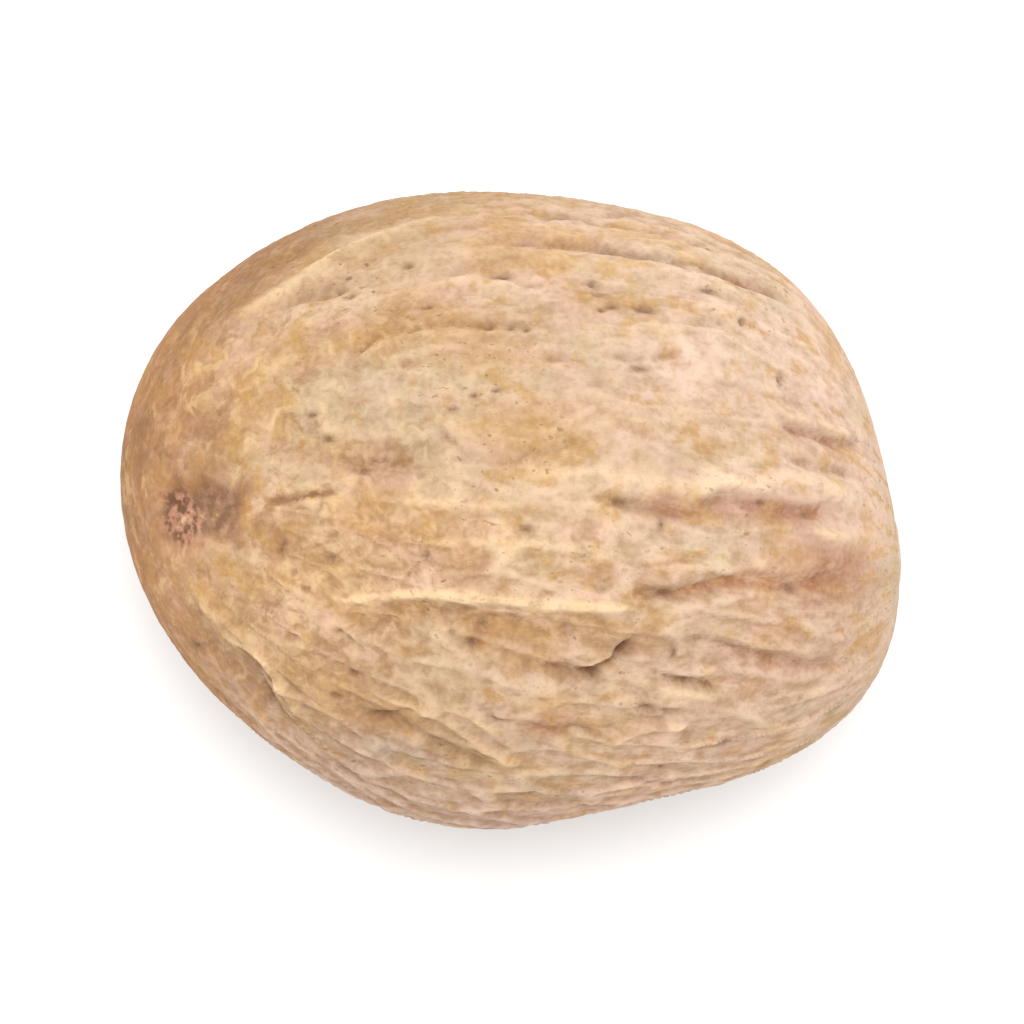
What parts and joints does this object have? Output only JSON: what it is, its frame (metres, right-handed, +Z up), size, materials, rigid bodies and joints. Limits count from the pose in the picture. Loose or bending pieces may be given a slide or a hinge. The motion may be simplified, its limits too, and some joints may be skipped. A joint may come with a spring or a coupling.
{
  "type": "whole nutmeg",
  "caption": "Whole shelled nutmeg lying on its side: a blunt egg-shaped seed with a netted, folded skin, a small sunken scar at one end and a raised disc at the other.",
  "frame": {"origin": "on the surface that the nutmeg lies on, under the middle of its length and width", "axes": "+X along the nutmeg, from the end with the sunken scar to the broad end; +Z up; +Y across it, away from the strongly folded side"},
  "size_m": [0.0258, 0.0208, 0.0192],
  "materials": {
    "nutmeg_skin": "matte, dusty"
  },
  "bodies": {
    "root": {"nutmeg": "nutmeg_skin"}
  },
  "joints": []
}
